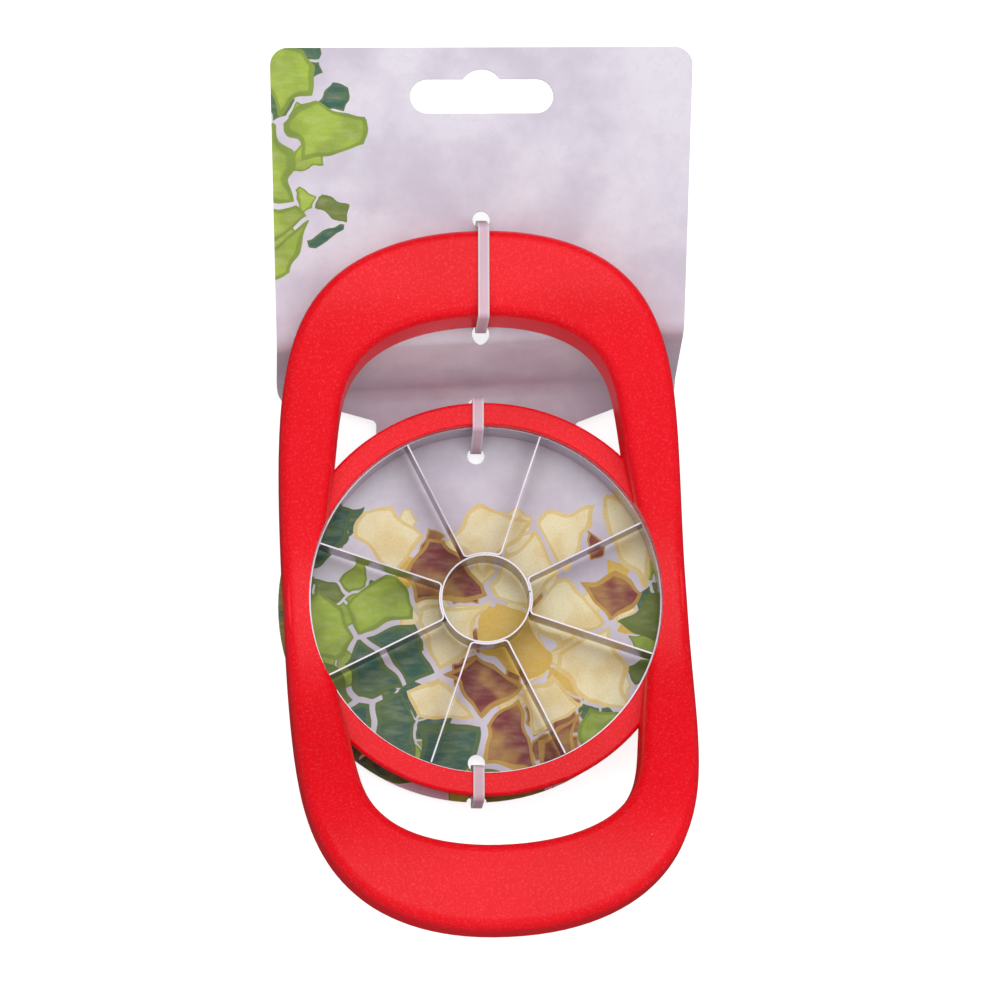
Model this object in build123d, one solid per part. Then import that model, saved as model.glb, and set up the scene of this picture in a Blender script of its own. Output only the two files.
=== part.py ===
from build123d import *
import math
import os

# Apple slicer wedger: a moulded loop handle round a cutting ring, with a steel
# band, a core ring and four bent blade strips, tied to a retail hang card.
# Everything is modelled round the ring's own axis, with Z = 0 at the underside of
# the ring, and moved at the end so that the origin is under the middle of the set.
# Lengths are millimetres, angles are degrees, and "far" is towards +Y.

# ---- cutting ring ------------------------------------------------------------
bore_diameter = 90.0            # hole in the moulding that the steel band lines
ring_height = 12.0
ring_face_width = 5.8           # flat top face, bore to the flange's edge
ring_wall = 3.2                 # wall under the flange, at its top
flange_thickness = 2.2          # the face is a flange that stands out over the wall
ring_edge_radius = 0.8
ring_lip_radius = 0.4
draft_angle = 1.5               # mould draft on every outside wall

# ---- loop handle -------------------------------------------------------------
loop_inside_ring = 0.4          # the loop's sides lie this far inside the ring's edge
loop_half_length = 88.8         # outside, at the top of the handles
loop_side_power = 2.12          # how square the ends are, across and along
loop_end_power = 5.1
rail_width = 13.4               # outside wall to window, at the top
handle_width = 21.6
window_side_power = 2.03
window_end_power = 7.2
window_flare = 5.3              # the inside wall swings out towards the waist
window_flare_reach = 44.0
handle_rise = 30.0              # top of the handles above the ring's face
waist_rise = 0.4                # top of the rails above the ring's face, at the waist
top_rise_start = 4.0            # along the loop, from the waist
top_rise_end = 80.0
handle_depth = 12.0             # top to lower edge, at the handles
under_rise_start = 8.0
under_rise_end = 80.0
handle_edge_radius = 3.0
shell_wall = 2.4                # walls of the channel that opens downwards
channel_start = 27.0            # the channel keeps this far from the waist
channel_ring_overlap = 1.0      # and this much of the ring wall whole
rib_thickness = 1.8
rib_recess = 3.0                # ribs stop this far above the lower edge
handle_rib_pitch = 13.0
handle_rib_count = 5
rail_rib_pitch = 13.0
rail_rib_first = 33.0
rail_rib_count = 3

# ---- steel parts -------------------------------------------------------------
steel_gauge = 0.4
steel_fit = 0.05                # gap between a steel part and what carries it
band_below_face = 2.4
band_above_base = 0.8
blade_below_face = 1.4
blade_height = 9.0
edge_bevel_inset = 0.13         # the ground cutting edge, from each side
edge_bevel_height = 1.3
blade_strip_count = 4
blade_bend_radius = 1.1
blade_turn = 1.0                # the cutting set sits this far round
tab_length = 1.8                # blade end let into the moulding, behind the band
tab_height = 5.0
core_mean_diameter = 22.6
core_below_blades = 0.8         # the core ring's cutting edge reaches lower
core_seam_gap = 0.25
core_seam_angle = 6.0

# ---- hang card ---------------------------------------------------------------
card_thickness = 0.45
card_gap = 0.08                 # card to moulding
card_turn = -3.2                # the card hangs a little askew
card_offset = -2.0
card_inside_ring = 0.1          # the round lower part is this much smaller than the ring
card_neck_width = 51.4
card_shoulder_before_edge = 2.3 # the neck opens out this far inside the ring's edge
card_knee_width = 72.0          # the shoulder rises this far out, then runs level
card_knee_past_ring = 1.1
card_corner_past_ring = 2.8
card_low_width = 102.8
card_top_width = 108.2
card_past_handle = 49.4         # top edge beyond the handle
card_lean = 1.0                 # the panel's ends and the slot run down to the left
card_corner_radius = 4.5
card_shoulder_radius = 1.5
card_bend_past_ring = 6.0       # the bend up from the ring
card_bend_before_handle = 3.0   # the bend into line under the handle
card_rest_before_handle = 0.8   # where the rails rest on the card
card_slope = 7.2                # of the flat upper part
card_bend_radius = 4.0
card_hole_diameter = 4.4
hole_past_handle = 5.45         # tie holes: how far they stand off what is tied
hole_inside_handle = 1.5
hole_past_ring = 1.7
far_hole_inside_bore = 5.5
near_hole_inside_bore = 4.4
card_notch_width = 5.0
card_notch_depth = 1.2
card_notch_radius = 1.0
hang_slot_below_top = 12.5
hang_slot_length = 36.5
hang_slot_height = 8.8
hang_bump_width = 11.4
hang_bump_height = 2.5

# ---- cable ties --------------------------------------------------------------
tie_width = 2.8
tie_thickness = 1.0
tie_gap = 0.1
tie_slack = 0.4                 # where the strap bridges a rounded edge
tie_hole_gap = 0.3              # strap to the edge of its hole
tie_corner_radius = 0.5
tie_head_length = 5.0
tie_head_width = 4.6
tie_head_height = 3.4
tie_head_radius = 0.8
tie_tail_length = 3.0
tie_tail_below = 1.0            # tail's upper face below the head's upper face
tie_pocket_depth = 0.8
tie_pocket_size = 2.6

# ---- worked out --------------------------------------------------------------
everything = 400.0              # larger than the whole part
height_steps = 12               # points on each half of a height curve
draft = math.tan(math.radians(draft_angle))
bore_radius = bore_diameter / 2
ring_top_radius = bore_radius + ring_face_width
ring_wall_radius = bore_radius + ring_wall
loop_half_width = ring_top_radius - loop_inside_ring
window_half_width = loop_half_width - rail_width
window_half_length = loop_half_length - handle_width
handle_top = ring_height + handle_rise
handle_under = handle_top - handle_depth
handle_inner_y = window_half_length - handle_depth * draft
band_outer = bore_radius - steel_fit
band_inner = band_outer - steel_gauge
band_top = ring_height - band_below_face
blade_top = ring_height - blade_below_face
blade_bottom = blade_top - blade_height
blade_middle = (blade_top + blade_bottom) / 2
blade_count = 2 * blade_strip_count
blade_pitch = 360 / blade_count
blade_reach = band_inner - steel_fit
core_outer = (core_mean_diameter + steel_gauge) / 2
core_inner = (core_mean_diameter - steel_gauge) / 2
core_bottom = blade_bottom - core_below_blades
strip_mean = core_outer + steel_fit + steel_gauge / 2
tab_slot_height = tab_height + 2 * steel_fit
tab_slot_width = steel_gauge + 2 * steel_fit
card_disc_radius = ring_top_radius - card_inside_ring
card_shoulder_y = ring_top_radius - card_shoulder_before_edge
card_knee_y = ring_top_radius + card_knee_past_ring
card_corner_y = ring_top_radius + card_corner_past_ring
card_top_y = loop_half_length + card_past_handle
card_leaves_ring_y = ring_top_radius + card_bend_past_ring
card_meets_handle_y = handle_inner_y - card_bend_before_handle
card_rest_y = handle_inner_y - card_rest_before_handle
card_rise = math.tan(math.radians(card_slope))
card_hole_radius = card_hole_diameter / 2
hole_reach = math.sqrt(card_hole_radius ** 2 - (tie_width / 2) ** 2) - tie_hole_gap
hang_slot_y = card_top_y - hang_slot_below_top
hole_handle_far = loop_half_length + hole_past_handle
hole_handle_near = handle_inner_y - hole_inside_handle
hole_ring_out = ring_top_radius + hole_past_ring
hole_ring_far = bore_radius - far_hole_inside_bore
hole_ring_near = bore_radius - near_hole_inside_bore


def smooth_rise(distance, start, end):
    """0 before start, 1 after end, and an S between."""
    t = min(max((distance - start) / (end - start), 0), 1)
    return t * t * (3 - 2 * t)


def top_height(y):
    """Height of the loop's top surface at a place along the loop."""
    rise = smooth_rise(abs(y), top_rise_start, top_rise_end)
    return ring_height + waist_rise + (handle_rise - waist_rise) * rise


def under_height(y):
    """Height of the loop's lower edge at a place along the loop."""
    return handle_under * smooth_rise(abs(y), under_rise_start, under_rise_end)


# ---- the moulding ------------------------------------------------------------
def loop_outline(half_width, half_length, side_power, end_power, flare=0.0):
    """Points of a closed smooth outline, square-ended, wider at the waist by the flare."""
    quarter = []
    for share in (0.0, 0.17, 0.34, 0.5, 0.66, 0.8, 0.9):
        y = share * half_length
        x = half_width * (1 - share ** end_power) ** (1 / side_power)
        x += flare * max(0, 1 - (y / window_flare_reach) ** 2) ** 2
        quarter.append((x, y))
    for share in (0.62, 0.42, 0.2):
        y = half_length * (1 - share ** side_power) ** (1 / end_power)
        quarter.append((share * half_width, y))
    right = quarter + [(0, half_length)]
    left = [(-x, y) for x, y in reversed(quarter)]
    lower = [(-x, -y) for x, y in (quarter[1:] + [(0, half_length)])]
    lower += [(x, -y) for x, y in reversed(quarter[1:])]
    return right + left + lower


def drafted_prism(outline_at):
    """Solid between the outline below the base and the outline above the handles."""
    spare = 5.0
    faces = []
    for z in (-spare, handle_top + spare):
        edge = Spline([(x, y, z) for x, y in outline_at(z)], periodic=True)
        faces.append(make_face(edge))
    return loft(faces, ruled=True)


def outside_at(inset):
    """Outline of the loop's outside wall as it grows towards the base."""
    def outline(z):
        grow = (handle_top - z) * draft - inset
        return loop_outline(loop_half_width + grow, loop_half_length + grow,
                            loop_side_power, loop_end_power)
    return outline


def window_at(inset):
    """Outline of the loop's inside wall as it closes in towards the base."""
    def outline(z):
        grow = inset - (handle_top - z) * draft
        return loop_outline(window_half_width + grow, window_half_length + grow,
                            window_side_power, window_end_power, window_flare)
    return outline


def across(face):
    """Solid that runs the face, drawn in the YZ plane, across the whole part."""
    return extrude(Pos(-everything / 2, 0, 0) * face, amount=everything, dir=(1, 0, 0))


def side_band(lower, upper):
    """Slab across the whole part between two heights that vary along the loop."""
    reach = top_rise_end + (loop_half_length - top_rise_end) * 2
    steps = [step / height_steps * reach for step in range(-height_steps, height_steps + 1)]
    top = Spline([(0, y, upper(y)) for y in steps])
    base = Spline([(0, y, lower(y)) for y in steps])
    ends = [Line(top @ 0, base @ 0), Line(top @ 1, base @ 1)]
    return across(make_face([top, base] + ends))


def build_ring_wall():
    """Wall of the cutting ring under its flange, with draft outside and softened top edges."""
    wall_height = ring_height - flange_thickness
    wall = Cone(ring_wall_radius + wall_height * draft, ring_wall_radius, wall_height)
    flange = Cone(ring_top_radius + flange_thickness * draft, ring_top_radius, flange_thickness)
    ring = Pos(0, 0, wall_height / 2) * wall
    ring = ring + Pos(0, 0, ring_height - flange_thickness / 2) * flange
    ring = ring - Cylinder(bore_radius, everything)
    for which, radius in ((-1, ring_edge_radius), (0, ring_lip_radius)):
        rims = ring.edges().filter_by(GeomType.CIRCLE).group_by(Axis.Z)[-1].sort_by(SortBy.LENGTH)
        ring = fillet(rims[which], radius)
    return ring


def channel_ribs():
    """Cross ribs that tie the two walls of the channel together."""
    ribs = Part()
    for step in range(handle_rib_count):
        x = (step - (handle_rib_count - 1) / 2) * handle_rib_pitch
        for side in (1, -1):
            y = side * loop_half_length
            ribs = ribs + Pos(x, y, 0) * Box(rib_thickness, loop_half_length, everything)
    for step in range(rail_rib_count):
        y = rail_rib_first + step * rail_rib_pitch
        for side in (1, -1):
            ribs = ribs + Pos(0, side * y, 0) * Box(everything, rib_thickness, everything)
    return ribs


def build_channel():
    """Space inside the loop that opens downwards, less its cross ribs."""
    space = drafted_prism(outside_at(shell_wall)) - drafted_prism(window_at(shell_wall))
    space = space & side_band(lambda y: under_height(y) - handle_depth,
                              lambda y: top_height(y) - shell_wall)
    waist = Cylinder(ring_top_radius - channel_ring_overlap, everything)
    waist = waist + Box(everything, 2 * channel_start, everything)
    rib_zone = side_band(lambda y: under_height(y) + rib_recess, top_height)
    return space - waist - (channel_ribs() & rib_zone)


def build_frame():
    """Loop handle and ring wall in one moulding, hollow from below."""
    loop = drafted_prism(outside_at(0)) - drafted_prism(window_at(0))
    loop = loop & side_band(under_height, top_height)
    loop = loop - build_channel()
    upward = loop.faces().filter_by(lambda face: face.normal_at().Z > 0.3)
    loop = fillet(upward.sort_by(SortBy.AREA)[-1].edges(), handle_edge_radius)
    frame = loop - Cylinder(bore_radius, everything) + build_ring_wall()
    slot_end = bore_radius + tab_length + steel_fit
    slot = Box(slot_end - band_inner, tab_slot_width, tab_slot_height)
    slot_middle = (slot_end + band_inner) / 2
    for place in blade_directions():
        frame = frame - Rot(0, 0, place) * Pos(slot_middle, 0, blade_middle) * slot
    return frame


# ---- the cutting set ---------------------------------------------------------
def blade_directions():
    """Angle of each blade round the ring."""
    return [blade_turn + (step + 0.5) * blade_pitch for step in range(blade_count)]


def sharpen(part, edges):
    """Grind the cutting edge: a narrow bevel at the bottom of the given edges."""
    lowest = part.faces().sort_by(Axis.Z)[0]
    return chamfer(edges, edge_bevel_inset, edge_bevel_height, reference=lowest)


def build_band():
    """Steel band that lines the bore, slotted for the blade tabs."""
    height = band_top - band_above_base
    band = Cylinder(band_outer, height) - Cylinder(band_inner, height)
    band = Pos(0, 0, band_above_base + height / 2) * band
    slot = Box(steel_gauge * 4, tab_slot_width, tab_slot_height)
    for place in blade_directions():
        band = band - Rot(0, 0, place) * Pos(band_inner, 0, blade_middle) * slot
    return band


def build_core_ring():
    """Rolled ring that cuts out the core, with its butt seam."""
    height = blade_top - core_bottom
    ring = Cylinder(core_outer, height) - Cylinder(core_inner, height)
    ring = Pos(0, 0, core_bottom + height / 2) * ring
    rims = ring.edges().filter_by(GeomType.CIRCLE).group_by(Axis.Z)[0]
    ring = sharpen(ring, rims.sort_by(SortBy.LENGTH)[-1])
    seam = Pos(core_mean_diameter / 2, 0, 0) * Box(steel_gauge * 3, core_seam_gap, everything)
    return ring - Rot(0, 0, core_seam_angle) * seam


def build_blade_strip():
    """One strip, lying towards +X: two blades joined by a bridge round the core ring."""
    half = blade_pitch / 2

    def at(radius, angle):
        return (radius * math.cos(math.radians(angle)), radius * math.sin(math.radians(angle)))

    end = blade_reach - steel_gauge / 2
    bridge = ThreePointArc(at(strip_mean, half), at(strip_mean, 0), at(strip_mean, -half))
    path = Wire([Line(at(end, half), at(strip_mean, half)), bridge,
                 Line(at(strip_mean, -half), at(end, -half))])
    corners = path.vertices().sort_by(lambda v: math.hypot(v.X, v.Y))[:2]
    path = path.fillet_2d(blade_bend_radius, corners)
    outline = path.offset_2d(steel_gauge / 2, side=Side.BOTH, closed=True)
    strip = extrude(make_face(outline), amount=blade_height, dir=(0, 0, 1))
    strip = Pos(0, 0, blade_bottom) * strip
    cutting = strip.edges().group_by(Axis.Z)[0]
    strip = sharpen(strip, cutting.filter_by(lambda edge: edge.length > 2 * steel_gauge))
    tab_end = bore_radius + tab_length
    tab = Box(tab_end - end, steel_gauge, tab_height)
    for side in (1, -1):
        strip = strip + Rot(0, 0, side * half) * Pos((end + tab_end) / 2, 0, blade_middle) * tab
    return strip


# ---- the hang card -----------------------------------------------------------
def card_height(y):
    """Height of the card's upper face along its flat upper part, which the rails rest on."""
    at_rest = under_height(card_rest_y) - card_gap
    return at_rest + (y - card_rest_y) * card_rise


def card_strip():
    """The bent card before it is cut to its outline: flat, up between two bends, sloping."""
    far = everything / 2
    first = (card_leaves_ring_y, -card_gap)
    second = (card_meets_handle_y, card_height(card_meets_handle_y))
    slope = math.radians(card_slope)
    rise_angle = math.atan2(second[1] - first[1], second[0] - first[0])
    first_shift = card_thickness * math.tan(rise_angle / 2)
    second_shift = card_thickness * math.tan((rise_angle - slope) / 2)
    over = (card_thickness * math.sin(slope), -card_thickness * math.cos(slope))
    upper = [(-far, first[1]), first, second, (far, card_height(far))]
    lower = [(-far, first[1] - card_thickness),
             (first[0] + first_shift, first[1] - card_thickness),
             (second[0] + over[0] + second_shift * math.cos(slope),
              second[1] + over[1] + second_shift * math.sin(slope)),
             (far + over[0], card_height(far) + over[1])]
    lines = [FilletPolyline(*[(0, y, z) for y, z in points], radius=card_bend_radius)
             for points in (upper, lower)]
    ends = [Line(lines[0] @ end, lines[1] @ end) for end in (0, 1)]
    return across(make_face(lines + ends))


def card_outline():
    """Flat outline of the card: a disc under the ring, a neck and the upper panel."""
    disc = Circle(card_disc_radius)
    fall = math.tan(math.radians(card_lean))
    neck = [(card_neck_width / 2, 0), (card_neck_width / 2, card_shoulder_y)]
    upper = [(card_knee_width / 2, card_knee_y), (card_low_width / 2, card_corner_y),
             (card_top_width / 2, card_top_y)]
    right_side = neck + [(x, y + x * fall) for x, y in upper]
    left_side = [(-x, y) for x, y in neck] + [(-x, y - x * fall) for x, y in upper]
    panel = make_face(Polyline(*right_side, *reversed(left_side), close=True))
    out = card_knee_width / 2 + card_corner_radius
    panel = fillet([corner for corner in panel.vertices() if abs(corner.X) > out], card_corner_radius)
    panel = fillet([corner for corner in panel.vertices()
                    if abs(corner.Y - card_shoulder_y) < card_shoulder_radius / 2], card_shoulder_radius)
    notch = RectangleRounded(card_notch_width, 2 * card_notch_depth, card_notch_radius)
    slot = SlotOverall(hang_slot_length, hang_slot_height)
    bump_top = hang_slot_height / 2 + hang_bump_height
    slot = slot + Pos(0, bump_top - hang_bump_width / 2) * Circle(hang_bump_width / 2)
    slot = Pos(0, hang_slot_y) * Rot(0, 0, card_lean) * slot
    sketch = disc + panel - Pos(0, -card_disc_radius) * notch - slot
    for y in (hole_handle_far, hole_handle_near, hole_ring_out, hole_ring_far, -hole_ring_near):
        sketch = sketch - Pos(0, y) * Circle(card_hole_radius)
    return sketch


def card_place():
    """Where the card and its ties sit: a little askew to the handle."""
    return Pos(card_offset, 0, 0) * Rot(0, 0, card_turn)


def build_card():
    """Hang card, printed board, bent up from the ring to the handle."""
    outline = Pos(0, 0, -everything / 4) * card_outline()
    sheet = extrude(outline, amount=everything / 2, dir=(0, 0, 1))
    return card_strip() & (card_place() * sheet)


# ---- the cable ties ----------------------------------------------------------
def build_tie(inside, head_middle, head_height, head_tilt):
    """Closed strap round the points of its inside line, with its locking head below."""
    inner = make_face(Polyline(*[(0, y, z) for y, z in inside], close=True))
    inner = fillet(inner.vertices(), tie_corner_radius)
    outer = offset(inner, amount=tie_thickness, kind=Kind.ARC)
    strap = extrude(Pos(-tie_width / 2, 0, 0) * (outer - inner), amount=tie_width, dir=(1, 0, 0))
    head = Box(tie_head_width, tie_head_length, tie_head_height)
    head = fillet(head.edges().filter_by(Axis.Z), tie_head_radius)
    head = Pos(0, 0, -tie_head_height / 2) * head
    pocket = Box(tie_pocket_size, tie_pocket_size, 2 * tie_pocket_depth)
    tail = Box(tie_width, tie_tail_length, tie_thickness)
    tail = Pos(0, (tie_head_length + tie_tail_length) / 2, -tie_tail_below - tie_thickness / 2) * tail
    head = head - Pos(0, 0, -tie_head_height) * pocket + tail
    head = Pos(0, head_middle, head_height) * Rot(head_tilt, 0, 0) * head
    return card_place() * (strap + head)


def build_handle_tie():
    """Tie round the far handle and the card."""
    inner_wall = handle_inner_y - tie_slack
    outer_wall = loop_half_length + tie_gap
    far_hole = hole_handle_far - hole_reach
    under = -card_thickness - tie_slack
    inside = [
        (inner_wall, card_height(inner_wall) + under),
        (inner_wall, handle_top + tie_gap),
        (outer_wall, handle_top + tie_gap),
        (far_hole, card_height(far_hole) + tie_slack),
        (far_hole, card_height(far_hole) + under),
    ]
    middle = (inner_wall + far_hole) / 2
    return build_tie(inside, middle, card_height(middle) + under, card_slope)


def build_ring_tie(direction, hole_y):
    """Tie round the ring and the card, on the far (1) or the near (-1) side."""
    under = -card_gap - card_thickness - tie_gap
    top = ring_height + tie_gap
    inner_y = hole_y + hole_reach
    outer_y = ring_top_radius + tie_slack
    inside = [
        (direction * inner_y, under),
        (direction * (band_inner - tie_slack), top),
        (direction * outer_y, top),
        (direction * outer_y, under),
    ]
    return build_tie(inside, direction * (outer_y + inner_y) / 2, under, 0)


def build_all():
    """Every node in the ring's own place."""
    nodes = {
        "handle_frame": build_frame(),
        "blade_band": build_band(),
        "core_ring": build_core_ring(),
    }
    strip = build_blade_strip()
    for step, side in enumerate(("right", "far", "left", "near")):
        turn = blade_turn + step * 360 / blade_strip_count
        nodes[f"blade_strip_{side}"] = Rot(0, 0, turn) * strip
    nodes["hang_card"] = build_card()
    nodes["tie_handle"] = build_handle_tie()
    nodes["tie_ring_far"] = build_ring_tie(1, hole_ring_far)
    nodes["tie_ring_near"] = build_ring_tie(-1, hole_ring_near)
    return nodes


def under_the_middle(shapes):
    """Move that puts the origin under the middle of all the shapes together."""
    boxes = [shape.bounding_box() for shape in shapes]
    low = [min(tuple(box.min)[axis] for box in boxes) for axis in range(3)]
    high = [max(tuple(box.max)[axis] for box in boxes) for axis in range(3)]
    return Pos(-(low[0] + high[0]) / 2, -(low[1] + high[1]) / 2, -low[2])


os.makedirs("parts", exist_ok=True)
assembly = build_all()
to_origin = under_the_middle(assembly.values())
for name, shape in assembly.items():
    export_step(to_origin * shape, f"parts/{name}.step")
print("ring's axis and underside are at", tuple(to_origin.position))
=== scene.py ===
import math

import bmesh
import bpy
from mathutils import Matrix, Vector


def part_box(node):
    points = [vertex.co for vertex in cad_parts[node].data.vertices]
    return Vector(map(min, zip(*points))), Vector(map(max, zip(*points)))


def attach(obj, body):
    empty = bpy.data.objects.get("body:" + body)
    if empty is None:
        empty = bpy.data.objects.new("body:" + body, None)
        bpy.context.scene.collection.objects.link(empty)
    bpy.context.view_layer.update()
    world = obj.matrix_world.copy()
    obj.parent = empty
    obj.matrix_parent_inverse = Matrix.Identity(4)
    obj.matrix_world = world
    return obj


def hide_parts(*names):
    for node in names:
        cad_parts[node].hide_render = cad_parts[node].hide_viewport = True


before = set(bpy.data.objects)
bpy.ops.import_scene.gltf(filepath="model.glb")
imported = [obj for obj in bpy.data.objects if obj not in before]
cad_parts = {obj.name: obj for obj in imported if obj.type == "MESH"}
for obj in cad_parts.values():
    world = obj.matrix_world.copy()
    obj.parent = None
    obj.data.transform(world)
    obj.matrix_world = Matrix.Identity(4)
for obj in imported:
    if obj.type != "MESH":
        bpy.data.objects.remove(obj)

bl_info = {
    "name": "Apple wedger on its hang card",
    "version": (1, 0, 0),
    "blender": (4, 5, 0),
    "location": "View3D > Sidebar > Wedger",
    "description": "Finishes the apple wedger's moulding, blades, hang card and cable ties",
    "category": "Object",
}

MM = 0.001
STRIPS = ("blade_strip_right", "blade_strip_far", "blade_strip_left", "blade_strip_near")
TIES = ("tie_handle", "tie_ring_far", "tie_ring_near")

# Printed chips: where they lie, in millimetres from the ring's axis. Each pair is the
# start and the end of a soft step.
DISC_RIM = (52, 60)
BARE_BEYOND = (14, 34)
LEFT_CORNER = (-46, -32)
TOP_CORNER = (74, 96)
GREEN_SIDE = (-24, -16)
GREEN_RIM = (40, 46)
SMALL_CHIP = 0.45               # size of the small chips, as a share of the large ones
SMALL_CROWD = 0.6               # share of the places that small chips fill
LARGE_CROWD = 0.92
EDGE_ON = 0.1                   # normals with less height than this are on the cut edge

# Rounding of the cable ties
MERGE_DISTANCE = 0.01 * MM      # points closer than this become one
FLAT_ANGLE = math.radians(4)    # flatter edges than this are taken away
SHARP_ANGLE = math.radians(50)  # sharper edges than this are rounded
ROUNDING_STEPS = 3

# Key light and camera, in metres unless the name says otherwise
KEY_SIZE = 0.95
KEY_PLACE = Vector((0.06, 0.28, 0.86))
SENSOR_WIDTH_MM = 36
NEAR_CLIP = 0.05
FAR_CLIP = 20


def colour(name, words, red, green, blue):
    """Colour property whose default is given as screen values from 0 to 255."""
    linear = [((value / 255 + 0.055) / 1.055) ** 2.4 if value > 10 else value / 255 / 12.92
              for value in (red, green, blue)]
    return bpy.props.FloatVectorProperty(
        name=name, description=words, subtype="COLOR", size=3, min=0, max=1, default=linear)


def length(name, words, millimetres):
    """Length property whose default is given in millimetres."""
    return bpy.props.FloatProperty(
        name=name, description=words, subtype="DISTANCE", unit="LENGTH", default=millimetres * MM)


def angle(name, words, degrees):
    """Angle property whose default is given in degrees."""
    return bpy.props.FloatProperty(
        name=name, description=words, subtype="ANGLE", default=math.radians(degrees))


def factor(name, words, value, top=1.0):
    """Plain number from 0 upwards."""
    return bpy.props.FloatProperty(name=name, description=words, min=0, max=top, default=value)


# ---- settings ----------------------------------------------------------------
class MouldingSettings(bpy.types.PropertyGroup):
    """The red moulding's colour and surface."""
    body: colour("Red", "Colour of the moulding", 247, 2, 27)
    # The deep red is also the colour that the painted shade in the grain's hollows multiplies by.
    deep: colour("Deep red", "Colour that the red drifts towards in broad clouds", 236, 0, 20)
    dust: colour("Dust", "Colour of the few specks of dust", 250, 190, 190)
    roughness: factor("Roughness", "Satin finish of the moulding", 0.35)
    gloss: factor("Gloss", "Strength of the moulding's reflection", 0.22)
    # Grain peaks and grain sheen: painted sheen, a lighter red laid on the peaks of the grain.
    peaks: colour("Grain peaks", "Lighter red on the peaks of the grain", 252, 78, 94)
    grain_sheen: factor("Grain light", "How much lighter the peaks of the grain are", 0.3)
    grain: length("Grain size", "Size of the fine moulded grain", 0.6)
    grain_depth: length("Grain depth", "Height of the fine moulded grain", 0.04)
    # Grain shade: painted shade, the hollows of the grain darkened towards the deep red.
    grain_shade: factor("Grain tone", "How much darker the hollows of the grain are", 0.18)
    speck_spacing: length("Speck spacing", "Distance between specks of dust", 7.0)
    speck_size: factor("Speck size", "Radius of a speck as a share of the spacing", 0.022)


class SteelSettings(bpy.types.PropertyGroup):
    """The stainless steel of the band, the core ring and the blades."""
    metal: colour("Steel", "Colour of bright stainless steel", 196, 189, 198)
    dull: colour("Dull steel", "Colour of the fine rolling lines", 166, 159, 167)
    roughness: factor("Roughness", "Roughness between the rolling lines", 0.2)
    line_pitch: length("Rolling line pitch", "Distance between the fine rolling lines", 0.22)
    line_depth: length("Rolling line depth", "Depth of the rolling lines", 0.0015)


class CardSettings(bpy.types.PropertyGroup):
    """The printed hang card."""
    turn: angle("Turn", "How far the card hangs askew", -3.2)
    offset: length("Offset", "How far the card hangs to the left", -2.0)
    light: colour("Light ground", "Light part of the clouded ground", 222, 216, 227)
    shade: colour("Shaded ground", "Darker part of the clouded ground", 200, 190, 206)
    core: colour("Board", "Cut edge of the board", 240, 238, 236)
    cream: colour("Cream", "Pale printed chips", 246, 234, 190)
    yellow: colour("Yellow", "Golden printed chips", 224, 184, 74)
    wine: colour("Wine red", "Dark red printed chips", 128, 18, 28)
    leaf: colour("Leaf green", "Bright green printed chips", 160, 186, 48)
    olive: colour("Olive", "Olive printed chips", 104, 124, 34)
    teal: colour("Teal", "Dark teal printed chips", 24, 92, 76)
    chip: length("Chip size", "Size of the large printed chips", 15.0)
    chip_gap: factor("Chip gap", "Half the gap between chips, as a share of their size", 0.045)
    chip_bend: factor("Chip bend", "Wander of the chips' outlines, as a share of their size", 0.3)


class NylonSettings(bpy.types.PropertyGroup):
    """The cable ties."""
    tint: colour("Nylon", "Colour of the natural nylon", 232, 196, 214)
    # Nylon rim: painted highlight, the lighter colour laid along the strap's thin edges.
    rim: colour("Nylon rim", "Lighter nylon along the strap's thin edges", 250, 240, 248)
    strap: length("Strap", "Half the width of a strap", 1.4)
    rounding: length("Rounding", "Radius on the strap's and the head's edges", 0.22)


class StageSettings(bpy.types.PropertyGroup):
    """Floor, lights and camera."""
    floor: length("Floor size", "Length of the floor's side", 6000.0)
    floor_white: colour("Floor", "Colour of the floor", 208, 208, 208)
    floor_glow: factor("Floor glow", "How much white the seen floor adds to its own colour", 0.76)
    floor_mirror: factor("Mirrored glow", "Share of the floor's glow that reflections show", 0.03)
    floor_dim: colour("Dim floor", "Colour that reflections show the floor in", 34, 30, 30)
    focal: factor("Focal length", "Focal length in millimetres on a 36 mm sensor", 189.91, 500.0)
    distance: length("Distance", "Camera to the ring's face, along the lens's own axis", 1339.6)
    tilt: angle("Tilt", "Camera leans back towards the near handle", 12.0)
    lean: angle("Lean", "Camera leans to the left", 3.054)
    turn: angle("Turn", "Turn of the picture", 2.725)
    slide_right: length("Slide right", "Object's place in the picture, to the right", -3.47)
    slide_up: length("Slide up", "Object's place in the picture, upwards", -24.69)
    ring_height: length("Ring height", "Ring's underside to its face", 12.0)
    world: factor("World", "Strength of the even light from all round", 0.2, 10.0)
    sky: factor("Sky", "Strength of the broad light from above the near handle", 0.74, 10.0)
    sky_way: bpy.props.FloatVectorProperty(
        name="Sky direction", description="Where the broad light is strongest",
        subtype="DIRECTION", size=3, default=(0.05, -0.45, 0.89))
    key: factor("Key light", "Watts of the large soft light above the far handle", 4.3, 1000.0)


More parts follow.
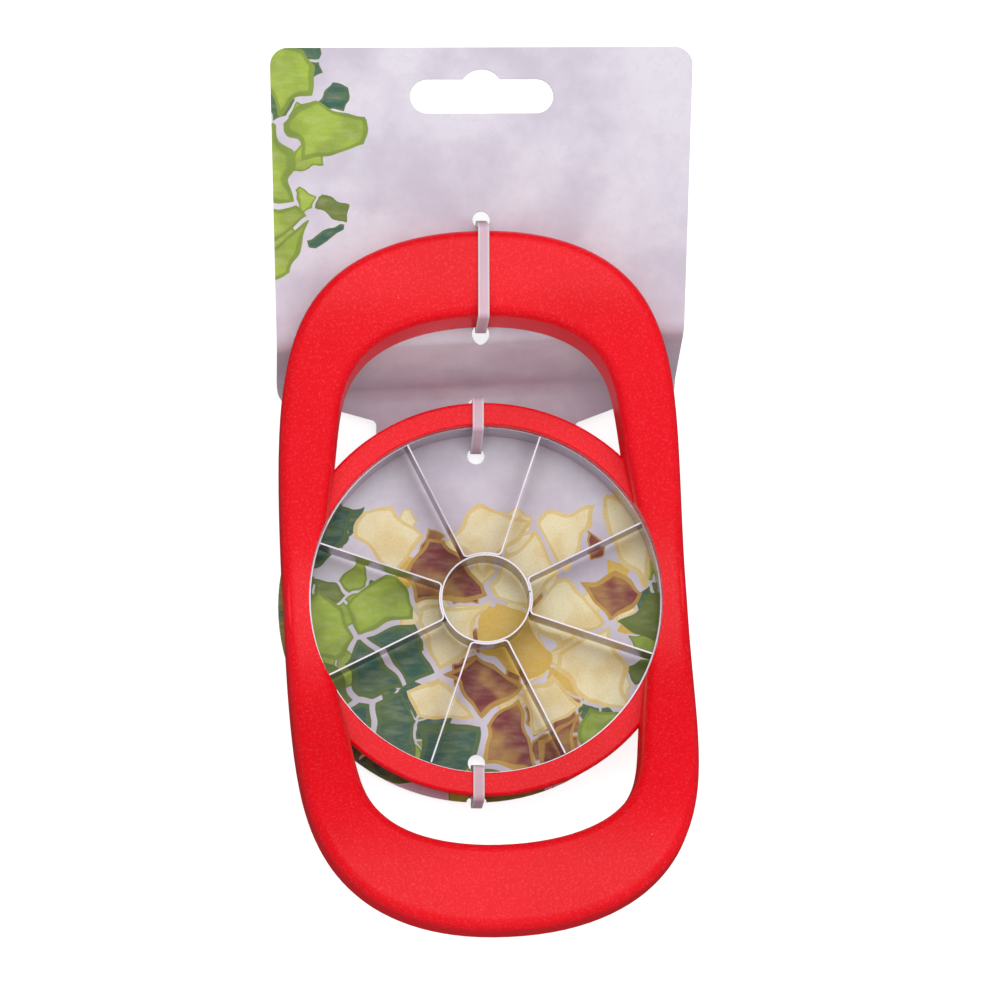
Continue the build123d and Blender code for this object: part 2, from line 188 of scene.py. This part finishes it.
# ---- material helpers --------------------------------------------------------
class Recipe:
    """A node material under construction."""

    def __init__(self, name):
        self.material = bpy.data.materials.new(name)
        self.material.use_nodes = True
        self.tree = self.material.node_tree
        self.shader = self.tree.nodes["Principled BSDF"]

    def add(self, kind, inputs=None, **settings):
        """Add a node. An input takes a plain value or another node's output."""
        node = self.tree.nodes.new(kind)
        for name, value in settings.items():
            setattr(node, name, value)
        for key, value in (inputs or {}).items():
            self.feed(node.inputs[key], value)
        return node

    def feed(self, socket, value):
        """Link an output to a socket, or set its value."""
        if isinstance(value, bpy.types.NodeSocket):
            self.tree.links.new(value, socket)
        elif socket.type == "RGBA" and len(value) == 3:
            socket.default_value = (*value, 1)
        else:
            socket.default_value = value

    def finish(self, **inputs):
        """Set the surface shader's inputs, named with underscores."""
        for name, value in inputs.items():
            self.feed(self.shader.inputs[name.replace("_", " ")], value)
        return self.material

    def place(self):
        """Object coordinates."""
        return self.add("ShaderNodeTexCoord").outputs["Object"]

    def maths(self, operation, first, second=0.0, third=0.0, clamp=False):
        """Result of one arithmetic step."""
        node = self.add("ShaderNodeMath", {0: first, 1: second, 2: third}, operation=operation)
        node.use_clamp = clamp
        return node.outputs[0]

    def stretch(self, vector, scale, shift=(0, 0, 0)):
        """Vector times a scale for each axis, plus a shift."""
        node = self.add("ShaderNodeMapping", {"Vector": vector, "Scale": scale, "Location": shift})
        return node.outputs[0]

    def noise(self, vector, scale, detail=2.0, rough=0.5):
        """Smooth noise from 0 to 1."""
        inputs = {"Vector": vector, "Scale": scale, "Detail": detail, "Roughness": rough}
        return self.add("ShaderNodeTexNoise", inputs).outputs[0]

    def ease(self, value, start, end, low=0.0, high=1.0):
        """Smooth step from low at start to high at end."""
        inputs = {"Value": value, "From Min": start, "From Max": end, "To Min": low, "To Max": high}
        return self.add("ShaderNodeMapRange", inputs, interpolation_type="SMOOTHSTEP").outputs[0]

    def mix(self, share, first, second, blend="MIX"):
        """Colour mix."""
        node = self.add("ShaderNodeMix", data_type="RGBA", blend_type=blend, clamp_result=True)
        for socket, value in ((0, share), (6, first), (7, second)):
            self.feed(node.inputs[socket], value)
        return node.outputs[2]

    def bump(self, height, distance, strength=1.0, normal=None):
        """Bumped normal; distance is the height in metres of a full step."""
        inputs = {"Height": height, "Distance": distance, "Strength": strength}
        if normal is not None:
            inputs["Normal"] = normal
        return self.add("ShaderNodeBump", inputs).outputs[0]


def wear(node_name, material):
    """Give a carried-over node its material."""
    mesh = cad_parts[node_name].data
    mesh.materials.clear()
    mesh.materials.append(material)


def ring_axis():
    """Place of the ring's axis on the ring's underside."""
    low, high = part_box("handle_frame")
    return Vector(((low.x + high.x) / 2, (low.y + high.y) / 2, low.z))


def card_place(recipe, settings):
    """Millimetres across and along the hung card, from the ring's axis."""
    anchor = ring_axis() + Vector((settings.offset, 0, 0))
    inputs = {"Vector": recipe.place(), "Location": anchor, "Rotation": (0, 0, settings.turn),
              "Scale": (MM, MM, MM)}
    return recipe.add("ShaderNodeMapping", inputs, vector_type="TEXTURE").outputs[0]


# ---- materials ---------------------------------------------------------------
def moulded_red(settings):
    """Satin red plastic: broad clouds, a fine moulded grain with painted sheen on its peaks and
    painted shade in its hollows, faint scuffs, specks of dust.
    """
    recipe = Recipe("moulded_red")
    place = recipe.place()
    clouds = recipe.noise(place, 28.0, 3.0)
    red = recipe.mix(recipe.ease(clouds, 0.35, 0.7), settings.body, settings.deep)
    inputs = {"Vector": place, "Scale": 1 / settings.speck_spacing}
    specks = recipe.add("ShaderNodeTexVoronoi", inputs).outputs
    size = settings.speck_size
    dusty = recipe.ease(specks["Distance"], size, size * 1.6, 1, 0)
    dice = recipe.add("ShaderNodeSeparateColor", {0: specks["Color"]}).outputs[0]
    dusty = recipe.maths("MULTIPLY", dusty, recipe.maths("GREATER_THAN", dice, 0.62))
    red = recipe.mix(recipe.maths("MULTIPLY", dusty, 0.55), red, settings.dust)
    scuffs = recipe.noise(recipe.stretch(place, (260, 34, 160)), 1.0, 2.0, 0.6)
    scuffs = recipe.ease(scuffs, 0.62, 0.74)
    smears = recipe.noise(place, 90.0, 2.0)
    polish = recipe.maths("MULTIPLY_ADD", smears, 0.07, settings.roughness - 0.035)
    polish = recipe.maths("MULTIPLY_ADD", scuffs, 0.05, polish)
    grain = recipe.noise(place, 1 / settings.grain, 3.0, 0.65)
    # Painted shade: the grain's hollows are darkened by multiplying with the deep red.
    painted_grain_shade = recipe.ease(grain, 0.36, 0.56, settings.grain_shade, 0)
    red = recipe.mix(painted_grain_shade, red, settings.deep, "MULTIPLY")
    # Painted sheen: the grain's peaks are lightened towards the peaks colour.
    painted_grain_sheen = recipe.ease(grain, 0.5, 0.68, 0, settings.grain_sheen)
    red = recipe.mix(painted_grain_sheen, red, settings.peaks)
    normal = recipe.bump(grain, settings.grain_depth, 0.9)
    swell = recipe.noise(place, 60.0, 1.0)
    normal = recipe.bump(swell, 0.00012, 0.4, normal)
    return recipe.finish(Base_Color=red, Roughness=polish, Normal=normal, IOR=1.5,
                         Specular_IOR_Level=settings.gloss, Subsurface_Weight=0.12,
                         Subsurface_Radius=(0.004, 0.0006, 0.0005), Subsurface_Scale=0.6)


def rolled_steel(settings):
    """Bright stainless strip: fine rolling lines along its length, a few small scratches."""
    recipe = Recipe("rolled_steel")
    place = recipe.place()
    lines = recipe.noise(recipe.stretch(place, (22, 22, 1 / settings.line_pitch)), 1.0, 3.0, 0.7)
    smears = recipe.noise(place, 160.0, 3.0)
    metal = recipe.mix(recipe.ease(lines, 0.45, 0.75), settings.metal, settings.dull)
    rough = recipe.maths("MULTIPLY_ADD", lines, 0.16, settings.roughness - 0.06)
    rough = recipe.maths("MULTIPLY_ADD", smears, 0.08, rough)
    scratches = recipe.noise(recipe.stretch(place, (900, 900, 120), (3, 1, 2)), 1.0, 1.0)
    rough = recipe.maths("MULTIPLY_ADD", recipe.ease(scratches, 0.7, 0.8), 0.2, rough)
    normal = recipe.bump(lines, settings.line_depth, 0.8)
    return recipe.finish(Base_Color=metal, Metallic=1.0, Roughness=rough, Normal=normal)


def card_ground(recipe, spot, settings):
    """Clouded plaster-like ground: broad clouds, fine mottling and a few thin darker marks."""
    clouds = recipe.noise(spot, 0.03, 7.0, 0.6)
    ground = recipe.mix(recipe.ease(clouds, 0.36, 0.64), settings.shade, settings.light)
    mottle = recipe.noise(spot, 0.5, 4.0, 0.7)
    ground = recipe.mix(recipe.ease(mottle, 0.5, 0.8, 0, 0.35), ground, settings.shade)
    ridges = recipe.maths("SUBTRACT", recipe.noise(spot, 0.07, 5.0, 0.7), 0.5)
    ridges = recipe.maths("ABSOLUTE", ridges)
    marks = recipe.ease(ridges, 0.0, 0.012, 0.22, 0)
    return recipe.mix(marks, ground, settings.shade)


def printed_chips(recipe, spot, size, settings):
    """Terrazzo-like chips. Gives their mask, rim, border, centre and two random numbers."""
    wander = recipe.add("ShaderNodeTexNoise", {"Vector": spot, "Scale": 1.2 / size, "Detail": 1.0})
    push = recipe.add("ShaderNodeVectorMath", {0: wander.outputs["Color"], 1: (0.5, 0.5, 0.5)},
                      operation="SUBTRACT").outputs[0]
    push = recipe.add("ShaderNodeVectorMath", {0: push, "Scale": size * settings.chip_bend * 2},
                      operation="SCALE").outputs[0]
    bent = recipe.add("ShaderNodeVectorMath", {0: spot, 1: push}, operation="ADD").outputs[0]
    inputs = {"Vector": bent, "Scale": 1 / size}
    cell = recipe.add("ShaderNodeTexVoronoi", inputs, voronoi_dimensions="2D")
    edge = recipe.add("ShaderNodeTexVoronoi", inputs, voronoi_dimensions="2D",
                      feature="DISTANCE_TO_EDGE").outputs["Distance"]
    gap = settings.chip_gap
    mask = recipe.ease(edge, gap, gap * 1.25)
    rim = recipe.ease(edge, gap, gap * 5)
    border = recipe.ease(edge, gap * 2.4, gap * 3, 1, 0)
    dice = recipe.add("ShaderNodeSeparateColor", {0: cell.outputs["Color"]})
    centre = recipe.add("ShaderNodeSeparateXYZ", {0: cell.outputs["Position"]})
    return {"mask": mask, "rim": rim, "border": border, "first": dice.outputs[0],
            "second": dice.outputs[1], "across": centre.outputs[0], "along": centre.outputs[1]}


def ramp(recipe, value, colours):
    """Stepped colours, an equal share of 0 to 1 for each."""
    node = recipe.add("ShaderNodeValToRGB", {0: value})
    node.color_ramp.interpolation = "CONSTANT"
    stops = node.color_ramp.elements
    while len(stops) < len(colours):
        stops.new(0.5)
    for index, tone in enumerate(colours):
        stops[index].position = index / len(colours)
        stops[index].color = (*tone, 1)
    return node.outputs[0]


def chip_layer(recipe, ground, spot, size, settings, crowd):
    """Lay chips of one size over the ground: green at the left and the rim, else warm."""
    chips = printed_chips(recipe, spot, size, settings)
    across, along = chips["across"], chips["along"]
    from_axis = recipe.add("ShaderNodeCombineXYZ", {0: across, 1: along}).outputs[0]
    out = recipe.add("ShaderNodeVectorMath", {0: from_axis}, operation="LENGTH").outputs["Value"]
    in_disc = recipe.ease(out, *DISC_RIM, 1, 0)
    low_down = recipe.ease(along, *BARE_BEYOND, 1, 0)
    at_left = recipe.ease(across, *LEFT_CORNER, 1, 0)
    high_up = recipe.ease(along, *TOP_CORNER)
    corner = recipe.maths("MULTIPLY", at_left, high_up)
    here = recipe.maths("MAXIMUM", recipe.maths("MULTIPLY", in_disc, low_down), corner)
    here = recipe.maths("LESS_THAN", chips["first"], recipe.maths("MULTIPLY", here, crowd))
    sideways = recipe.maths("MULTIPLY_ADD", along, 0.35, across)
    greens = recipe.ease(sideways, *GREEN_SIDE, 1, 0)
    greens = recipe.maths("MAXIMUM", greens, recipe.ease(out, *GREEN_RIM))
    warm = ramp(recipe, chips["second"], (settings.cream, settings.yellow, settings.wine,
                                          settings.cream, settings.wine, settings.cream))
    cool = ramp(recipe, chips["second"], (settings.leaf, settings.teal, settings.olive,
                                          settings.leaf, settings.teal))
    green = recipe.maths("GREATER_THAN", greens, 0.5)
    ink = recipe.mix(green, warm, cool)
    edging = recipe.mix(green, settings.yellow, settings.olive)
    ink = recipe.mix(recipe.maths("MULTIPLY", chips["border"], 0.55), ink, edging)
    shading = recipe.ease(recipe.noise(spot, 0.11, 2.0), 0.4, 0.66, 0, 0.42)
    ink = recipe.mix(shading, ink, edging)
    pale = recipe.mix(0.35, ink, settings.cream)
    streak = recipe.noise(recipe.stretch(spot, (0.16, 0.5, 1)), 1.0, 4.0, 0.6)
    shine = recipe.maths("MULTIPLY", recipe.ease(streak, 0.36, 0.78, 0, 0.5), chips["rim"])
    ink = recipe.mix(shine, ink, pale)
    fleck = recipe.noise(spot, 1.6, 3.0, 0.7)
    ink = recipe.mix(recipe.ease(fleck, 0.4, 0.75, 0, 0.12), ink, (0, 0, 0), "MULTIPLY")
    cover = recipe.maths("MULTIPLY", chips["mask"], here)
    return recipe.mix(cover, ground, ink)


def printed_card(settings):
    """Coated board: printed on the face, plain behind, white at its cut edge."""
    recipe = Recipe("printed_card")
    spot = card_place(recipe, settings)
    ground = card_ground(recipe, spot, settings)
    print_face = chip_layer(recipe, ground, recipe.stretch(spot, (1, 1, 0), (0.0, 0.0, 3.0)),
                            settings.chip * SMALL_CHIP / MM, settings, SMALL_CROWD)
    print_face = chip_layer(recipe, print_face, recipe.stretch(spot, (1, 1, 0)),
                            settings.chip / MM, settings, LARGE_CROWD)
    normal = recipe.add("ShaderNodeNewGeometry").outputs["Normal"]
    height = recipe.add("ShaderNodeSeparateXYZ", {0: normal}).outputs[2]
    upward = recipe.maths("GREATER_THAN", height, EDGE_ON)
    sideways = recipe.maths("LESS_THAN", recipe.maths("ABSOLUTE", height), EDGE_ON)
    face = recipe.mix(upward, ground, print_face)
    face = recipe.mix(sideways, face, settings.core)
    fibre = recipe.noise(spot, 3.0, 3.0, 0.6)
    rough = recipe.maths("MULTIPLY_ADD", fibre, 0.1, 0.36)
    rough = recipe.maths("MULTIPLY_ADD", sideways, 0.4, rough)
    normal = recipe.bump(fibre, 0.00001, 0.5)
    return recipe.finish(Base_Color=face, Roughness=rough, Normal=normal, IOR=1.45)


def natural_nylon(settings, card):
    """Translucent nylon with faint flow marks and a painted highlight along the strap's edges."""
    recipe = Recipe("natural_nylon")
    place = recipe.place()
    flow = recipe.noise(recipe.stretch(place, (700, 120, 120)), 1.0, 2.0)
    across = recipe.add("ShaderNodeSeparateXYZ", {0: card_place(recipe, card)}).outputs[0]
    half = settings.strap / MM
    # Painted highlight: the strap's thin edges, together with the real flow marks, are lightened
    # towards the rim colour.
    thin = recipe.ease(recipe.maths("ABSOLUTE", across), half * 0.6, half * 0.9)
    thin = recipe.maths("MULTIPLY_ADD", flow, 0.25, thin, clamp=True)
    tint = recipe.mix(thin, settings.tint, settings.rim)
    normal = recipe.bump(recipe.noise(place, 900.0, 2.0), 0.00001, 0.5)
    rough = recipe.maths("MULTIPLY_ADD", flow, 0.12, 0.3)
    return recipe.finish(Base_Color=tint, Roughness=rough, Normal=normal, IOR=1.53,
                         Transmission_Weight=0.25, Subsurface_Weight=0.6,
                         Subsurface_Radius=(0.0016, 0.0012, 0.0014), Subsurface_Scale=1.0)


# ---- operators ---------------------------------------------------------------
class DressMoulding(bpy.types.Operator):
    """Finish the loop handle and ring in moulded red plastic"""
    bl_idname = "wedger.dress_moulding"
    bl_label = "Moulding"

    def execute(self, context):
        wear("handle_frame", moulded_red(context.scene.wedger_moulding))
        return {"FINISHED"}


class DressSteel(bpy.types.Operator):
    """Finish the band, the core ring and the blades in bright steel"""
    bl_idname = "wedger.dress_steel"
    bl_label = "Steel parts"

    def execute(self, context):
        steel = rolled_steel(context.scene.wedger_steel)
        for name in ("blade_band", "core_ring", *STRIPS):
            wear(name, steel)
        return {"FINISHED"}


class DressCard(bpy.types.Operator):
    """Print the hang card"""
    bl_idname = "wedger.dress_card"
    bl_label = "Hang card"

    def execute(self, context):
        wear("hang_card", printed_card(context.scene.wedger_card))
        return {"FINISHED"}


class MakeTies(bpy.types.Operator):
    """Make the three nylon cable ties with rounded edges"""
    bl_idname = "wedger.make_ties"
    bl_label = "Cable ties"

    def execute(self, context):
        settings = context.scene.wedger_nylon
        nylon = natural_nylon(settings, context.scene.wedger_card)
        for name in TIES:
            tie = rounded_copy(name, name.replace("tie", "nylon_tie"), settings.rounding, nylon)
            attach(tie, "root")
            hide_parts(name)
        return {"FINISHED"}


def rounded_copy(node_name, name, radius, material):
    """New piece with a node's shape and rounded edges."""
    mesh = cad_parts[node_name].data.copy()
    mesh.name = name
    bm = bmesh.new()
    bm.from_mesh(mesh)
    bmesh.ops.remove_doubles(bm, verts=bm.verts, dist=MERGE_DISTANCE)
    bmesh.ops.dissolve_limit(bm, angle_limit=FLAT_ANGLE, verts=bm.verts, edges=bm.edges)
    edges = [edge for edge in bm.edges
             if edge.is_manifold and edge.calc_face_angle() > SHARP_ANGLE]
    bmesh.ops.bevel(bm, geom=edges, offset=radius, offset_type="OFFSET",
                    segments=ROUNDING_STEPS, profile=0.5, affect="EDGES", material=-1,
                    clamp_overlap=True)
    bm.to_mesh(mesh)
    bm.free()
    mesh.materials.clear()
    mesh.materials.append(material)
    mesh.shade_smooth()
    piece = bpy.data.objects.new(name, mesh)
    bpy.context.scene.collection.objects.link(piece)
    return piece


class SetStage(bpy.types.Operator):
    """Lay the pale floor and set the soft lights and the camera"""
    bl_idname = "wedger.set_stage"
    bl_label = "Stage"

    def execute(self, context):
        settings = context.scene.wedger_stage
        lay_floor(settings)
        light_world(settings)
        hang_light("key_light", settings.key, KEY_SIZE, KEY_PLACE)
        set_camera(settings)
        context.scene.view_settings.view_transform = "Standard"
        return {"FINISHED"}


def lay_floor(settings):
    """Large pale floor that the set stands on."""
    mesh = bpy.data.meshes.new("floor")
    bm = bmesh.new()
    bmesh.ops.create_grid(bm, x_segments=1, y_segments=1, size=settings.floor / 2)
    bm.to_mesh(mesh)
    bm.free()
    floor = bpy.data.objects.new("floor", mesh)
    bpy.context.scene.collection.objects.link(floor)
    recipe = Recipe("pale_floor")
    rays = recipe.add("ShaderNodeLightPath").outputs
    tone = recipe.mix(rays["Is Glossy Ray"], settings.floor_white, settings.floor_dim)
    recipe.finish(Base_Color=tone, Roughness=0.9)
    mirrored = recipe.maths("MULTIPLY", rays["Is Glossy Ray"], settings.floor_mirror)
    seen = recipe.maths("MAXIMUM", rays["Is Camera Ray"], mirrored)
    seen = recipe.maths("MAXIMUM", seen, rays["Is Transmission Ray"])
    strength = recipe.maths("MULTIPLY", seen, settings.floor_glow)
    glow = recipe.add("ShaderNodeEmission", {"Color": (1, 1, 1), "Strength": strength})
    both = recipe.add("ShaderNodeAddShader", {0: recipe.shader.outputs[0], 1: glow.outputs[0]})
    output = recipe.tree.nodes["Material Output"]
    recipe.feed(output.inputs["Surface"], both.outputs[0])
    mesh.materials.append(recipe.material)


def light_world(settings):
    """Even white light, and a broad one above the near handle that reflections don't show."""
    world = bpy.data.worlds.new("studio")
    bpy.context.scene.world = world
    world.use_nodes = True
    nodes, links = world.node_tree.nodes, world.node_tree.links

    def step(kind, operation):
        node = nodes.new(kind)
        node.operation = operation
        return node

    way = nodes.new("ShaderNodeTexCoord")
    facing = step("ShaderNodeVectorMath", "DOT_PRODUCT")
    facing.inputs[1].default_value = settings.sky_way
    towards = step("ShaderNodeMath", "MAXIMUM")
    towards.inputs[1].default_value = 0
    rays = nodes.new("ShaderNodeLightPath")
    unseen = step("ShaderNodeMath", "SUBTRACT")
    unseen.inputs[0].default_value = 1
    broad = step("ShaderNodeMath", "MULTIPLY")
    strength = step("ShaderNodeMath", "MULTIPLY_ADD")
    strength.inputs[1].default_value = settings.sky
    strength.inputs[2].default_value = settings.world
    background = nodes["Background"]
    background.inputs["Color"].default_value = (1, 1, 1, 1)
    links.new(way.outputs["Generated"], facing.inputs[0])
    links.new(facing.outputs["Value"], towards.inputs[0])
    links.new(rays.outputs["Is Glossy Ray"], unseen.inputs[1])
    links.new(towards.outputs[0], broad.inputs[0])
    links.new(unseen.outputs[0], broad.inputs[1])
    links.new(broad.outputs[0], strength.inputs[0])
    links.new(strength.outputs[0], background.inputs["Strength"])


def hang_light(name, watts, size, place):
    """Square soft light aimed at the ring."""
    lamp = bpy.data.lights.new(name, "AREA")
    lamp.energy = watts
    lamp.size = size
    light = bpy.data.objects.new(name, lamp)
    bpy.context.scene.collection.objects.link(light)
    light.location = ring_axis() + place
    light.rotation_euler = (-place).to_track_quat("-Z", "Y").to_euler()


def set_camera(settings):
    """Long lens over the ring, tilted, leaning and turned a little."""
    tilt = Matrix.Rotation(-settings.tilt, 3, "X")
    lean = Matrix.Rotation(settings.lean, 3, "Y")
    turn = Matrix.Rotation(settings.turn, 3, "Z")
    to_camera = lean @ tilt @ turn
    from_camera = to_camera.transposed()
    ring_face = ring_axis() + Vector((0, 0, settings.ring_height))
    lens = Vector((-settings.slide_right, -settings.slide_up, settings.distance))
    data = bpy.data.cameras.new("camera")
    data.sensor_width = SENSOR_WIDTH_MM
    data.lens = settings.focal
    data.clip_start = NEAR_CLIP
    data.clip_end = FAR_CLIP
    camera = bpy.data.objects.new("camera", data)
    bpy.context.scene.collection.objects.link(camera)
    place = Matrix.Translation(ring_face + from_camera @ lens)
    camera.matrix_world = place @ from_camera.to_4x4()
    bpy.context.scene.camera = camera


OPERATORS = (DressMoulding, DressSteel, DressCard, MakeTies, SetStage)
SETTINGS = {
    "wedger_moulding": MouldingSettings,
    "wedger_steel": SteelSettings,
    "wedger_card": CardSettings,
    "wedger_nylon": NylonSettings,
    "wedger_stage": StageSettings,
}


class WedgerPanel(bpy.types.Panel):
    """Lists the pieces and their settings"""
    bl_idname = "VIEW3D_PT_wedger"
    bl_label = "Apple wedger"
    bl_space_type = "VIEW_3D"
    bl_region_type = "UI"
    bl_category = "Wedger"

    def draw(self, context):
        for operator, (holder, group) in zip(OPERATORS, SETTINGS.items()):
            box = self.layout.box()
            box.operator(operator.bl_idname)
            for name in group.__annotations__:
                box.prop(getattr(context.scene, holder), name)


def register():
    for group in SETTINGS.values():
        bpy.utils.register_class(group)
    for cls in (*OPERATORS, WedgerPanel):
        bpy.utils.register_class(cls)
    for holder, group in SETTINGS.items():
        setattr(bpy.types.Scene, holder, bpy.props.PointerProperty(type=group))


def unregister():
    for holder in SETTINGS:
        delattr(bpy.types.Scene, holder)
    for cls in (*OPERATORS, WedgerPanel):
        bpy.utils.unregister_class(cls)
    for group in SETTINGS.values():
        bpy.utils.unregister_class(group)


def main():
    register()
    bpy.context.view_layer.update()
    bpy.ops.wedger.dress_moulding()
    bpy.ops.wedger.dress_steel()
    bpy.ops.wedger.dress_card()
    bpy.ops.wedger.make_ties()
    bpy.ops.wedger.set_stage()


if __name__ == "__main__":
    main()
